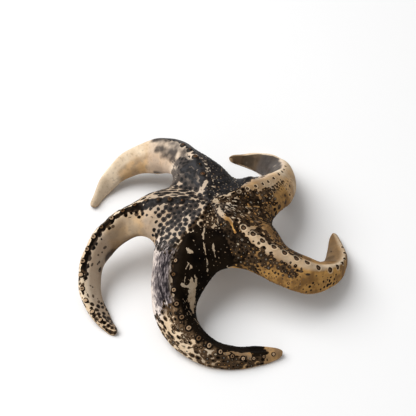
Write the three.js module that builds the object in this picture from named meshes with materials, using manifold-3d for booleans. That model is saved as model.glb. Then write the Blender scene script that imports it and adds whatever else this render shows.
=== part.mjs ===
// Dried starfish: one hollow-bellied body with five arms that all curl the same way,
// like the blades of a pinwheel, and stand on their tips.
// Millimetres, +Z up. The origin is under the middle of the part, on the surface it stands on.
import * as THREE from "three";
import { mergeVertices } from "three/addons/utils/BufferGeometryUtils.js";
import Module from "manifold-3d";

// Sizes that the whole body shares.
const CROWN_HEIGHT = 31; // top of the disc above the table
const CENTRE_X = -1.9; // the crown's place, from the middle of the part's outline
const CENTRE_Y = -0.05;
const VALLEY_TURN = 10; // degrees that the valley between two arms turns on its way out
const VALLEY_FALL = 0.35; // share of the fall from crown to web that comes before the rim
const ROOF = 12; // underside of the disc, above the table
const BELLY = 2.4; // the underside's depth below the arm's edges
const TIP_BELLY = 1.3;
const GROOVE_DEPTH = 3.2; // feeding groove along the underside
const GROOVE_WIDTH = 2.1;
const CORD_HEIGHT = 1.2; // cord that runs along the top of each arm
const CORD_WIDTH = 2.2;
const TIP_WIDTH = 1.6; // half width and depth of an arm just before its round end
const TIP_DEPTH = 2.2;
const TIP_ROUND = 2.6; // length of the round end
const TIP_CORE = 0.4; // height that the round end closes on, from the edge to the ridge

// Knobs in a row along the ridge, smaller towards the tip. Two worn arms have pits in their place.
const KNOB_SPACING = 4.7;
const KNOB_RADIUS = 1.25;
const TIP_KNOB_RADIUS = 0.75;
const KNOB_RISE = 0.7;
const PIT_DEPTH = 0.55;

// The sieve plate, a low button beside the middle of the disc.
const PLATE = { distance: 4.2, azimuth: 15, radius: 2.2, rise: 0.35 };

// Places along an arm, as shares of its length.
const WEB_END = 0.28; // where the disc ends at the webs
const ARM_START = 0.4; // where the arm is free of the webs
const FIRST_KNOB = 0.16;
const LAST_KNOB = 0.96;
const STATIONS = [WEB_END, 0.5, 0.7, 0.88, 1]; // where widths and depths are given

// azimuth: the arm's first direction, in degrees; length along the ridge, seen from above;
// curl: degrees that the arm turns; bend and late: how the turn is spread along the arm;
// tip: ridge height at the tip; sag: how late the arm comes down;
// inner, outer: half widths on the hollow side and on the round side; depth: ridge to edge;
// web: distance, azimuth and height of the rim between this arm and the next one.
const ARMS = [
  {
    azimuth: 97, length: 91.5, curl: 167, bend: 1.55, late: 2.5, tip: 3.6, sag: 1.55,
    inner: [9.2, 9.2, 6.3, 3.3], outer: [8.6, 8.5, 3.7, 2.7], depth: [12.1, 11.6, 9, 4.3],
    web: [28, 138, 18], worn: false,
  },
  {
    azimuth: 170, length: 87.5, curl: 161, bend: 1.45, late: 2.2, tip: 2.9, sag: 1.4,
    inner: [8, 5.6, 7.1, 6.1], outer: [11, 5.3, 1.6, 0.9], depth: [12.4, 11, 6.1, 2.7],
    web: [29.5, 210, 16], worn: false,
  },
  {
    azimuth: 240, length: 88, curl: 139, bend: 1.8, late: 1.7, tip: 3.6, sag: 0.9,
    inner: [11, 6.5, 7, 6.7], outer: [14.5, 7, 4, 2.6], depth: [13.9, 10.8, 7.4, 3.7],
    web: [24.5, 297, 14], worn: false,
  },
  {
    azimuth: 316, length: 86.5, curl: 153, bend: 1.85, late: 2.6, tip: 3.2, sag: 1.35,
    inner: [10, 9.2, 9.2, 6.4], outer: [8.1, 7.8, 1.9, 1.1], depth: [13.6, 9.1, 8.7, 4.5],
    web: [29, 366, 14], worn: true,
  },
  {
    azimuth: 388, length: 82, curl: 154, bend: 1.45, late: 2.6, tip: 3.7, sag: 1.35,
    inner: [11, 8.8, 6.3, 4.5], outer: [11.1, 6.5, 5, 5], depth: [12.6, 12.5, 8.7, 5.1],
    web: [28, 424, 21.5], worn: true,
  },
];

// How finely the skin is divided.
const DISC_STEPS = 6;
const ARM_STEPS = 19;
const TIP_STEPS = 3;
const TOP_HALF = 6; // steps from the ridge to one edge
const UNDER_HALF = 4;
const SMOOTHING_ROUNDS = 8;
const WALK_STEPS = 400; // short steps that trace a ridge line

const rad = THREE.MathUtils.degToRad;
const mix = THREE.MathUtils.lerp;
const smooth = (x, low, high) => THREE.MathUtils.smoothstep(x, low, high);
const armAfter = (i) => (i + 1) % ARMS.length;
const armBefore = (i) => (i + ARMS.length - 1) % ARMS.length;

// A smooth curve through the values at the stations. It levels out where the values turn.
function alongStations(values, tipValue, t) {
  const v = [...values, tipValue];
  const last = v.length - 1;
  if (t <= STATIONS[0]) return v[0];
  const gap = (k) => STATIONS[k + 1] - STATIONS[k];
  const rise = (k) => (v[k + 1] - v[k]) / gap(k);
  const slope = (k) => {
    if (k === 0) return rise(0);
    if (k === last) return rise(last - 1);
    const a = rise(k - 1);
    const b = rise(k);
    return a * b <= 0 ? 0 : (2 * a * b) / (a + b);
  };
  let k = 0;
  while (k < last - 1 && t > STATIONS[k + 1]) k++;
  const x = (t - STATIONS[k]) / gap(k);
  const y = 1 - x;
  return (
    v[k] * y * y * (1 + 2 * x) +
    v[k + 1] * x * x * (3 - 2 * x) +
    gap(k) * x * y * (slope(k) * y - slope(k + 1) * x)
  );
}

// The arm's direction, seen from above, at a share t of its length.
function heading(arm, t) {
  const turned = t ** arm.bend / (t ** arm.bend + arm.late * (1 - t) ** arm.bend);
  return rad(arm.azimuth + arm.curl * turned);
}

// Points of the ridge line, walked in short steps from the crown to the tip.
function walkRidge(arm) {
  const points = [new THREE.Vector2(0, 0)];
  const step = arm.length / WALK_STEPS;
  for (let k = 0; k < WALK_STEPS; k++) {
    const angle = heading(arm, (k + 0.5) / WALK_STEPS);
    const last = points[k];
    points.push(new THREE.Vector2(last.x + step * Math.cos(angle), last.y + step * Math.sin(angle)));
  }
  return points;
}
const RIDGES = ARMS.map(walkRidge);

function ridgePoint(i, t) {
  const arm = ARMS[i];
  const place = Math.min(t, 1) * WALK_STEPS;
  const k = Math.min(Math.floor(place), WALK_STEPS - 1);
  const flat = RIDGES[i][k].clone().lerp(RIDGES[i][k + 1], place - k);
  const down = smooth(t ** arm.sag, 0, 1);
  return new THREE.Vector3(flat.x, flat.y, mix(CROWN_HEIGHT, arm.tip, down));
}

// The cord grows out of the crown and fades at the tip.
const cordAt = (t) => CORD_HEIGHT * smooth(t, 0.02, 0.12) * Math.min(1, (1 - t) / 0.06);
const bellyAt = (t) => mix(BELLY, TIP_BELLY, smooth(t, ARM_START, 0.85));
const grooveAt = (t) => GROOVE_DEPTH * (1 - smooth(t, 0.6, 1));

function rimPoint(i) {
  const [distance, azimuth, height] = ARMS[i].web;
  return new THREE.Vector3(
    distance * Math.cos(rad(azimuth)), distance * Math.sin(rad(azimuth)), height,
  );
}

// The valley line between arm i and the next one, on the top (side 1) or the underside (side -1).
function valleyPoint(i, t, side) {
  const out = t / WEB_END;
  const [distance, azimuth, height] = ARMS[i].web;
  const angle = rad(azimuth - VALLEY_TURN * (1 - out));
  let z;
  if (side > 0) {
    const rim = 1 - Math.sqrt(Math.max(0, 1 - out ** 3));
    z = mix(CROWN_HEIGHT - cordAt(t), height, VALLEY_FALL * out ** 2 + (1 - VALLEY_FALL) * rim);
  } else {
    const rim = 1 - Math.sqrt(Math.max(0, 1 - out ** 5));
    z = mix(mix(ROOF, height - BELLY, out), height, rim);
  }
  return new THREE.Vector3(
    distance * out * Math.cos(angle), distance * out * Math.sin(angle), z,
  );
}

// The arm's lower edge. side 1 is the hollow side of the curl, side -1 the round side.
function edgePoint(i, t, side) {
  const arm = ARMS[i];
  const ridge = ridgePoint(i, t);
  const angle = heading(arm, t) + (side * Math.PI) / 2;
  const width = alongStations(side > 0 ? arm.inner : arm.outer, TIP_WIDTH, t);
  const depth = alongStations(arm.depth, TIP_DEPTH, t);
  const edge = new THREE.Vector3(
    ridge.x + width * Math.cos(angle), ridge.y + width * Math.sin(angle), ridge.z - depth,
  );
  const free = 1 - (1 - Math.min(1, (t - WEB_END) / (ARM_START - WEB_END))) ** 2;
  return rimPoint(side > 0 ? i : armBefore(i)).lerp(edge, free);
}

function borderPoint(i, t, side, face) {
  if (t >= WEB_END) return edgePoint(i, t, side);
  return valleyPoint(side > 0 ? i : armBefore(i), t, face);
}

// A point of the top: across runs from -1 at the round side's edge over 0 at the ridge to 1.
function topPoint(i, t, across) {
  const ridge = ridgePoint(i, t);
  const border = borderPoint(i, t, across < 0 ? -1 : 1, 1);
  const part = Math.abs(across);
  const free = smooth(t, 0.35 * WEB_END, WEB_END);
  const round = (part * Math.PI) / 2;
  const outwards = mix(part, Math.sin(round), free);
  const fall = mix((1 - Math.cos(Math.PI * part)) / 2, 1 - Math.cos(round), free);
  const point = ridge.clone().lerp(border, outwards);
  const away = Math.hypot(point.x - ridge.x, point.y - ridge.y);
  const cord = cordAt(t);
  const beside = 1 - Math.exp(-((away / CORD_WIDTH) ** 2));
  point.z = ridge.z - (ridge.z - border.z - cord) * fall - cord * beside;
  return point;
}

// A point of the underside, from 1 at the hollow side's edge to -1.
function underPoint(i, t, across) {
  const inner = borderPoint(i, t, 1, -1);
  const outer = borderPoint(i, t, -1, -1);
  const middle = inner.clone().add(outer).multiplyScalar(0.5);
  const ridge = ridgePoint(i, t);
  const free = smooth(t, 0.5 * WEB_END, ARM_START);
  middle.x = mix(ridge.x, middle.x, free);
  middle.y = mix(ridge.y, middle.y, free);
  const atRim = smooth(t, 0.8 * WEB_END, WEB_END);
  middle.z = mix(ROOF, middle.z - bellyAt(t), atRim);
  const border = across < 0 ? outer : inner;
  const part = Math.abs(across);
  const point = middle.clone().lerp(border, part);
  const rounding = mix(part, 1 - Math.sqrt(1 - part ** 4), atRim);
  point.z = mix(middle.z, border.z, rounding);
  const away = Math.hypot(point.x - middle.x, point.y - middle.y);
  point.z += grooveAt(t) * Math.exp(-((away / GROOVE_WIDTH) ** 2)) * (1 - part);
  return point;
}

// The last few millimetres shrink towards the middle of the section, which rounds the tip.
function roundTip(i, t, point) {
  const start = 1 - TIP_ROUND / ARMS[i].length;
  if (t <= start) return point;
  const x = (t - start) / (1 - start);
  const keep = Math.sqrt(Math.max(0, 1 - x * x));
  const inner = edgePoint(i, t, 1);
  const outer = edgePoint(i, t, -1);
  const core = inner.add(outer).multiplyScalar(0.5);
  core.z = mix(core.z, ridgePoint(i, t).z, TIP_CORE);
  return core.lerp(point, keep);
}

function armSteps(i) {
  const start = 1 - TIP_ROUND / ARMS[i].length;
  const steps = [];
  for (let j = 0; j <= DISC_STEPS; j++) steps.push((WEB_END * j) / DISC_STEPS);
  for (let j = 1; j <= ARM_STEPS; j++) steps.push(mix(WEB_END, start, j / ARM_STEPS));
  for (let j = 1; j <= TIP_STEPS; j++) {
    steps.push(start + (1 - start) * Math.sin((j / TIP_STEPS) * Math.PI * 0.5));
  }
  return steps;
}

// The whole skin as one closed net. Neighbouring arms share the valley lines, and nothing
// reaches below the table. A weight says how far a point may move when the webs are smoothed.
function bodyNet() {
  const points = [];
  const weights = [];
  const index = new Map();
  const last = DISC_STEPS + ARM_STEPS + TIP_STEPS;
  const add = (key, point, weight) => {
    if (!index.has(key)) {
      index.set(key, points.length);
      point.z = Math.max(point.z, 0);
      points.push(point);
      weights.push(weight);
    }
    return index.get(key);
  };
  const steps = ARMS.map((_, i) => armSteps(i));
  const at = (i, j, k, face) => {
    const half = face > 0 ? TOP_HALF : UNDER_HALF;
    if (j === 0) return add("centre" + face, face > 0 ? topPoint(0, 0, 0) : underPoint(0, 0, 0), 0);
    if (j === last) return add("tip" + i, roundTip(i, 1, topPoint(i, 1, 0)), 0);
    if (k === half && j <= DISC_STEPS) return at(armAfter(i), j, -half, face);
    if (Math.abs(k) === half && j >= DISC_STEPS && face < 0) return at(i, j, Math.sign(k) * TOP_HALF, 1);
    const t = steps[i][j];
    const across = k / half;
    const point = face > 0 ? topPoint(i, t, across) : underPoint(i, t, across);
    const inWeb = 1 - smooth(t, WEB_END, ARM_START + 0.04);
    const onRidge = face > 0 ? 1 - smooth(Math.abs(across), 0.25, 0.6) : 0;
    const kept = onRidge * smooth(t, 0.08, 0.2);
    return add([i, j, k, face].join(), roundTip(i, t, point), inWeb * (1 - kept));
  };
  const faces = [];
  const triangle = (a, b, c) => {
    if (a !== b && b !== c && c !== a) faces.push([a, b, c]);
  };
  ARMS.forEach((_, i) => {
    for (let j = 0; j < last; j++) {
      for (const face of [1, -1]) {
        const half = face > 0 ? TOP_HALF : UNDER_HALF;
        for (let k = -half; k < half; k++) {
          const [a, b] = [at(i, j, k, face), at(i, j, k + 1, face)];
          const [c, d] = [at(i, j + 1, k + 1, face), at(i, j + 1, k, face)];
          if (face > 0) {
            triangle(a, d, c);
            triangle(a, c, b);
          } else {
            triangle(a, c, d);
            triangle(a, b, c);
          }
        }
      }
    }
  });
  return { points, weights, faces };
}

// Each point of the webs moves towards the mean of its neighbours, which rounds off the creases.
function smoothWebs(net) {
  const near = net.points.map(() => new Set());
  for (const [a, b, c] of net.faces) {
    near[a].add(b).add(c);
    near[b].add(a).add(c);
    near[c].add(a).add(b);
  }
  for (let round = 0; round < SMOOTHING_ROUNDS; round++) {
    const old = net.points.map((p) => p.clone());
    net.points.forEach((point, n) => {
      if (!net.weights[n]) return;
      const mean = new THREE.Vector3();
      near[n].forEach((m) => mean.add(old[m]));
      point.lerp(mean.divideScalar(near[n].size), 0.5 * net.weights[n]);
    });
  }
}

function geometryOf(net) {
  const geometry = new THREE.BufferGeometry().setFromPoints(net.points);
  geometry.setIndex(net.faces.flat());
  return geometry;
}

const wasm = await Module();
wasm.setup();

function solidOf(geometry) {
  const bare = geometry.clone();
  bare.deleteAttribute("normal");
  bare.deleteAttribute("uv");
  const merged = mergeVertices(bare, 1e-4);
  return new wasm.Manifold(
    new wasm.Mesh({
      numProp: 3,
      vertProperties: merged.attributes.position.array,
      triVerts: new Uint32Array(merged.index.array),
    }),
  );
}

function geometryFrom(solid) {
  const mesh = solid.getMesh();
  const geometry = new THREE.BufferGeometry();
  geometry.setAttribute("position", new THREE.BufferAttribute(mesh.vertProperties, 3));
  geometry.setIndex(new THREE.BufferAttribute(mesh.triVerts, 1));
  geometry.computeVertexNormals();
  return geometry;
}

function ballAt(x, y, z, radius) {
  return solidOf(new THREE.SphereGeometry(radius, 6, 4).translate(x, y, z));
}

// A ball on the ridge: joined it is a knob, and cut out it leaves a pit.
function ridgeBall(i, t, worn) {
  const radius = mix(KNOB_RADIUS, TIP_KNOB_RADIUS, smooth(t, 0.5, 1));
  const ridge = ridgePoint(i, t);
  return ballAt(ridge.x, ridge.y, ridge.z + (worn ? radius - PIT_DEPTH : KNOB_RISE - radius), radius);
}

function sievePlate() {
  const plate = new THREE.SphereGeometry(PLATE.radius, 10, 6);
  const angle = rad(PLATE.azimuth);
  plate.scale(1, 1, 2 * PLATE.rise / PLATE.radius);
  plate.translate(PLATE.distance * Math.cos(angle), PLATE.distance * Math.sin(angle), CROWN_HEIGHT);
  plate.translate(0, 0, -1.6 * PLATE.rise);
  return solidOf(plate);
}

function starfish() {
  const net = bodyNet();
  smoothWebs(net);
  let body = solidOf(geometryOf(net)).add(sievePlate());
  ARMS.forEach((arm, i) => {
    for (let t = FIRST_KNOB; t < LAST_KNOB; t += KNOB_SPACING / arm.length) {
      const ball = ridgeBall(i, t, arm.worn);
      body = arm.worn ? body.subtract(ball) : body.add(ball);
    }
  });
  const material = new THREE.MeshStandardMaterial({ color: 0xb89a6c, roughness: 0.6, metalness: 0 });
  const mesh = new THREE.Mesh(geometryFrom(body), material);
  mesh.name = "starfish";
  return mesh;
}

const part = new THREE.Group();
const body = starfish();
body.position.set(CENTRE_X, CENTRE_Y, 0);
part.add(body);

export default part;
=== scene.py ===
"""A dried starfish with five curling arms, one grown piece, lying on a plain pale floor."""
import math
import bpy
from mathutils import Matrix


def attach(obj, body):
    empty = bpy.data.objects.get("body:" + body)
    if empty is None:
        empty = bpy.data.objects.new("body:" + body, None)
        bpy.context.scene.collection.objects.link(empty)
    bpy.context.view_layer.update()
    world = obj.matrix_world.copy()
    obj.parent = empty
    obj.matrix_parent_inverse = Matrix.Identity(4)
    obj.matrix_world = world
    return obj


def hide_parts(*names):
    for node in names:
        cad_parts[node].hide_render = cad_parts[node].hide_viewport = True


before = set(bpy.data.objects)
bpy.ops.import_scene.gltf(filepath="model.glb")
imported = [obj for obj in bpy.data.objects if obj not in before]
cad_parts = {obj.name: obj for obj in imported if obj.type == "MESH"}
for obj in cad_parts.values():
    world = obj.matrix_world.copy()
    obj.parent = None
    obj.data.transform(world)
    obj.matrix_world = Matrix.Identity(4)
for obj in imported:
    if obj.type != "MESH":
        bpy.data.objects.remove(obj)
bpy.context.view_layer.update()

from types import SimpleNamespace

import bpy
import numpy as np
from mathutils import Vector

rng = np.random.default_rng(20417)

# Sizes in millimetres, as in the part's own source, until the mesh is made
MM = 0.001
CROWN_HEIGHT = 31.0
CENTRE = np.array([-1.9, -0.05, 0.0])
# A valley swings by some degrees on its way out, and has this share of its drop before the rim
VALLEY_TURN = 10.0
VALLEY_FALL = 0.35
# Underneath: the hollow's roof, how far the belly hangs below the side edges, and the groove
ROOF = 12.0
BELLY = 2.4
TIP_BELLY = 1.3
GROOVE_DEPTH = 3.2
GROOVE_WIDTH = 2.1
# The low cord along every crest
CORD_HEIGHT = 1.2
CORD_WIDTH = 2.2
# The tip: its half width, its depth below the crest, the length that is rounded off, and how far
# up towards the crest it ends
TIP_WIDTH = 1.6
TIP_DEPTH = 2.2
TIP_ROUND = 2.6
TIP_CORE = 0.4

# Shares of an arm's length where the web ends, the arm is free, widths are given, and forms fade
WEB_END = 0.28
ARM_START = 0.4
STATIONS = np.array([WEB_END, 0.5, 0.7, 0.88, 1.0])
CORD_START = (0.02, 0.12)
CORD_END = 0.06
TOP_ROUNDS = (0.35 * WEB_END, WEB_END)
BELLY_LEAVES_RIDGE = (0.5 * WEB_END, ARM_START)
BELLY_MEETS_RIM = (0.8 * WEB_END, WEB_END)
BELLY_THINS = (ARM_START, 0.85)
GROOVE_ENDS = (0.6, 1.0)

# Azimuth and curl in degrees; bend and late shape how the curl grows, and sag how the crest sinks to
# the height tip. At the stations, inner (on the curl's hollow side) and outer are half widths, and
# depth is how far the side edges lie below the crest. Web is the end of the valley to the next arm:
# distance, azimuth and height. A worn arm has pits on its crest where the others have knobs.
ARMS = [
    dict(name="A", azimuth=97, length=89.8, curl=161, bend=1.55, late=2.5, tip=3.6, sag=1.75,
         inner=[9.2, 9.2, 6.3, 3.7], outer=[7.2, 7.6, 2.6, 1.9], depth=[12.1, 12.2, 9, 4.8],
         web=(28, 138, 18), worn=False),
    dict(name="B", azimuth=170, length=87, curl=161, bend=1.45, late=2.2, tip=2.9, sag=1.4,
         inner=[8, 5.6, 7.1, 6.1], outer=[11, 5.3, 1.6, 0.9], depth=[12.4, 11, 6.1, 2.7],
         web=(29.5, 210, 16), worn=False),
    dict(name="C", azimuth=240, length=88, curl=139, bend=1.8, late=1.7, tip=3.6, sag=0.9,
         inner=[11.5, 6.8, 7, 6.7], outer=[18.4, 7.7, 4, 2.6], depth=[14.5, 11.2, 7.4, 3.9],
         web=(27, 298, 13), worn=False),
    dict(name="D", azimuth=316, length=86.5, curl=153, bend=1.85, late=2.6, tip=3.2, sag=1.35,
         inner=[11, 9.2, 9.2, 6.4], outer=[12, 8.2, 1.9, 1.1], depth=[16.6, 8.6, 7.6, 4.3],
         web=(31, 366, 14), worn=True),
    dict(name="E", azimuth=388, length=83, curl=154, bend=1.45, late=2.6, tip=2.6, sag=1.35,
         inner=[11, 8.8, 6.3, 4.5], outer=[17, 6.4, 4, 3.8], depth=[13.8, 12.5, 8.7, 5.1],
         web=(28, 424, 21.5), worn=True),
]

# Rows over the disc, the free arm and its tip, half the columns, and steps along a crest
DISC_STEPS = 50
ARM_STEPS = 126
TIP_STEPS = 6
TOP_HALF = 36
UNDER_HALF = 12
WALK_STEPS = 400
# The rounds of relaxing, where along an arm the skin stops giving way, and where it holds beside
# a crest, across and along
RELAX_ROUNDS = 400
GIVE_ENDS = (WEB_END, ARM_START + 0.1)
HELD_ACROSS = (0.25, 0.6)
HELD_ALONG = (0.08, 0.2)


def ease(x, low, high):
    """0 below low, 1 above high, and a smooth step between."""
    s = np.clip((x - low) / (high - low), 0.0, 1.0)
    return s * s * (3.0 - 2.0 * s)


def window(x, low, high, soft):
    """1 between low and high and 0 beyond them, with soft borders."""
    return ease(x, low - soft, low + soft) * (1 - ease(x, high - soft, high + soft))


def mix(a, b, share):
    """The point that is this share of the way from a to b."""
    return a + (b - a) * share


def bell(x, width, power=2):
    """1 at zero, falling as e to the minus of x over width, raised to the power."""
    return np.exp(-((x / width) ** power))


def polar(distance, angle, height):
    """Points from their distance and compass angle in plan, and their height."""
    return np.stack([distance * np.cos(angle), distance * np.sin(angle), height], -1)


def level_gap(a, b):
    """How far apart points are in plan."""
    return np.hypot(a[..., 0] - b[..., 0], a[..., 1] - b[..., 1])


def along_stations(values, tip_value, t):
    """A smooth curve through one value at each station, with no swing beyond them:
    cubic pieces whose slope at a station is the harmonic mean of its two neighbours."""
    v = np.append(values, tip_value).astype(float)
    gap = np.diff(STATIONS)
    rise = np.diff(v) / gap
    same_way = rise[:-1] * rise[1:] > 0
    total = np.where(same_way, rise[:-1] + rise[1:], 1.0)
    middle = np.where(same_way, 2 * rise[:-1] * rise[1:] / total, 0.0)
    slope = np.concatenate([rise[:1], middle, rise[-1:]])
    t = np.maximum(t, STATIONS[0])
    k = np.clip(np.searchsorted(STATIONS, t, side="right") - 1, 0, len(gap) - 1)
    x = (t - STATIONS[k]) / gap[k]
    y = 1 - x
    bulge = gap[k] * x * y * (slope[k] * y - slope[k + 1] * x)
    return v[k] * y * y * (1 + 2 * x) + v[k + 1] * x * x * (3 - 2 * x) + bulge


def heading(arm, t):
    """The arm's compass angle in plan: its azimuth plus a share of its curl that grows
    slowly, then fast, then slowly again along the arm."""
    turned = t ** arm["bend"] / (t ** arm["bend"] + arm["late"] * (1 - t) ** arm["bend"])
    return np.radians(arm["azimuth"] + arm["curl"] * turned)


def ridge_points(arm, t):
    """The crest line: unit steps along the heading added up, sinking from crown to tip."""
    step = arm["length"] / WALK_STEPS
    angle = heading(arm, (np.arange(WALK_STEPS) + 0.5) / WALK_STEPS)
    walk = np.linspace(0, 1, WALK_STEPS + 1)
    x = np.concatenate([[0], np.cumsum(np.cos(angle))]) * step
    y = np.concatenate([[0], np.cumsum(np.sin(angle))]) * step
    z = mix(CROWN_HEIGHT, arm["tip"], ease(t ** arm["sag"], 0, 1))
    return np.stack([np.interp(t, walk, x), np.interp(t, walk, y), z], -1)


def cord_height(t):
    """The crest stands up as a low cord, fading in off the crown and out at the tip."""
    return CORD_HEIGHT * ease(t, *CORD_START) * np.minimum(1, (1 - t) / CORD_END)


def rim_point(arm):
    """Where the web between this arm and the next one ends."""
    distance, azimuth, height = arm["web"]
    return polar(distance, math.radians(azimuth), height)


def valley_points(arm, t, face):
    """The line from the crown to the web's rim, seen from above (face 1) or below (-1).
    It swings a few degrees, and bends over at the rim as 1 less the root of 1 less a power."""
    distance, azimuth, height = arm["web"]
    out = np.minimum(t / WEB_END, 1.0)
    angle = np.radians(azimuth - VALLEY_TURN * (1 - out))
    if face > 0:
        rim = 1 - np.sqrt(1 - out ** 3)
        fall = VALLEY_FALL * out ** 2 + (1 - VALLEY_FALL) * rim
        z = mix(CROWN_HEIGHT - cord_height(t), height, fall)
    else:
        rim = 1 - np.sqrt(1 - out ** 5)
        z = mix(mix(ROOF, height - BELLY, out), height, rim)
    return polar(distance * out, angle, z)


def border_points(i, t, side, face):
    """The side edge of a sector: along the valley over the disc, then along the free arm
    at its half width beside the crest and its depth below it."""
    arm = ARMS[i]
    web = ARMS[i if side > 0 else i - 1]
    ridge = ridge_points(arm, t)
    angle = heading(arm, t) + side * math.pi / 2
    width = along_stations(arm["inner"] if side > 0 else arm["outer"], TIP_WIDTH, t)
    depth = along_stations(arm["depth"], TIP_DEPTH, t)
    edge = ridge + polar(width, angle, -depth)
    free = 1 - (1 - np.clip((t - WEB_END) / (ARM_START - WEB_END), 0, 1)) ** 2
    edge = mix(rim_point(web), edge, free[:, None])
    return np.where((t >= WEB_END)[:, None], edge, valley_points(web, t, face))


def top_points(i, t, across):
    """The upper skin of a sector: from the crest out to each border, falling as half a
    cosine wave over the disc and as a quarter of a circle on the arm."""
    ridge = ridge_points(ARMS[i], t)[:, None]
    outer = border_points(i, t, -1, 1)[:, None]
    inner = border_points(i, t, 1, 1)[:, None]
    border = np.where(across[None, :, None] < 0, outer, inner)
    part = np.abs(across)[None]
    free = ease(t, *TOP_ROUNDS)[:, None]
    turn = part * math.pi / 2
    outwards = mix(part, np.sin(turn), free)
    fall = mix((1 - np.cos(math.pi * part)) / 2, 1 - np.cos(turn), free)
    points = mix(ridge, border, outwards[..., None])
    away = level_gap(points, ridge)
    cord = cord_height(t)[:, None]
    beside = 1 - bell(away, CORD_WIDTH)
    top = ridge[..., 2]
    points[..., 2] = top - (top - border[..., 2] - cord) * fall - cord * beside
    return points


def under_points(i, t, across):
    """The lower skin: a shallow belly between the borders, with the feeding groove let
    into its middle line and hollowed up to the roof under the disc."""
    outer = border_points(i, t, -1, -1)[:, None]
    inner = border_points(i, t, 1, -1)[:, None]
    middle = (inner + outer) / 2
    ridge = ridge_points(ARMS[i], t)[:, None]
    free = ease(t, *BELLY_LEAVES_RIDGE)[:, None, None]
    at_rim = ease(t, *BELLY_MEETS_RIM)[:, None]
    belly = mix(BELLY, TIP_BELLY, ease(t, *BELLY_THINS))[:, None]
    middle[..., :2] = mix(ridge[..., :2], middle[..., :2], free)
    middle[..., 2] = mix(ROOF, middle[..., 2] - belly, at_rim)
    border = np.where(across[None, :, None] < 0, outer, inner)
    part = np.abs(across)[None]
    points = mix(middle, border, part[..., None])
    rounding = mix(part, 1 - np.sqrt(1 - part ** 4), at_rim)
    points[..., 2] = mix(middle[..., 2], border[..., 2], rounding)
    away = level_gap(points, middle)
    groove = (GROOVE_DEPTH * (1 - ease(t, *GROOVE_ENDS)))[:, None]
    points[..., 2] += groove * bell(away, GROOVE_WIDTH) * (1 - part)
    return points


def round_tip(i, t, points):
    """The last millimetres shrink to one point as the square root of 1 - x squared."""
    arm = ARMS[i]
    start = 1 - TIP_ROUND / arm["length"]
    x = np.clip((t - start) / (1 - start), 0, 1)
    keep = np.sqrt(np.maximum(0, 1 - x * x))[:, None, None]
    core = (border_points(i, t, 1, 1) + border_points(i, t, -1, 1)) / 2
    core[:, 2] = mix(core[:, 2], ridge_points(arm, t)[:, 2], TIP_CORE)
    return np.where(keep < 1, mix(core[:, None], points, keep), points)


def arm_steps(arm):
    """The rows of one sector: even over the disc and the arm, closing up at the tip."""
    start = 1 - TIP_ROUND / arm["length"]
    disc = np.linspace(0, WEB_END, DISC_STEPS + 1)
    free = np.linspace(WEB_END, start, ARM_STEPS + 1)[1:]
    end = start + (1 - start) * np.sin(np.arange(1, TIP_STEPS + 1) / TIP_STEPS * math.pi / 2)
    return np.concatenate([disc, free, end])


def sheets():
    """The points of every arm's upper skin and then of every lower one, and for each its arm,
    shares along and across, face (1 above, -1 below) and give."""
    points, info = [], []
    for face, half in ((1, TOP_HALF), (-1, UNDER_HALF)):
        across = np.linspace(-1, 1, 2 * half + 1)
        for i, arm in enumerate(ARMS):
            t = arm_steps(arm)
            sheet = top_points(i, t, across) if face > 0 else under_points(i, t, across)
            points.append(round_tip(i, t, sheet).reshape(-1, 3))
            give = 1 - ease(t, *GIVE_ENDS)[:, None]
            on_ridge = 1 - ease(np.abs(across), *HELD_ACROSS)[None]
            held = on_ridge * ease(t, *HELD_ALONG)[:, None] if face > 0 else 0.0
            columns = float(i), t[:, None], across[None], float(face), give * (1 - held)
            info.append(np.stack(np.broadcast_arrays(*columns), -1).reshape(-1, 5))
    return np.concatenate(points), np.concatenate(info)


def shared_numbers():
    """The points' numbers on grids of (arm, along, across), above and below, with one number
    where sheets meet: in valleys and side edges, at the crown and at the tips."""
    rows = DISC_STEPS + ARM_STEPS + TIP_STEPS + 1
    wide, narrow = 2 * TOP_HALF + 1, 2 * UNDER_HALF + 1
    count = len(ARMS)
    top = np.arange(count * rows * wide).reshape(count, rows, wide)
    under = top.size + np.arange(count * rows * narrow).reshape(count, rows, narrow)
    d = DISC_STEPS
    top[:, : d + 1, -1] = np.roll(top, -1, 0)[:, : d + 1, 0]
    under[:, : d + 1, -1] = np.roll(under, -1, 0)[:, : d + 1, 0]
    under[:, d:, 0] = top[:, d:, 0]
    under[:, d:, -1] = top[:, d:, -1]
    top[:, 0], under[:, 0] = top[0, 0, 0], under[0, 0, 0]
    top[:, -1] = top[:, -1, :1]
    under[:, -1] = top[:, -1, :1]
    return top, under


def body_net():
    """Five sectors of upper and lower skin joined into one closed surface of triangles."""
    points, info = sheets()
    top, under = shared_numbers()
    faces = []
    for ids, flip in ((top, False), (under, True)):
        a, b, c, e = ids[:, :-1, :-1], ids[:, :-1, 1:], ids[:, 1:, 1:], ids[:, 1:, :-1]
        halves = np.stack([a, e, c], -1).reshape(-1, 3), np.stack([a, c, b], -1).reshape(-1, 3)
        halves = np.concatenate(halves)
        faces.append(halves[:, ::-1] if flip else halves)
    faces = np.concatenate(faces)
    p, q, r = faces.T
    faces = faces[(p != q) & (q != r) & (r != p)]
    used, faces = np.unique(faces, return_inverse=True)
    points = points[used]
    points[:, 2] = np.maximum(points[:, 2], 0)
    return points, faces.reshape(-1, 3), info[used]


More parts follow.
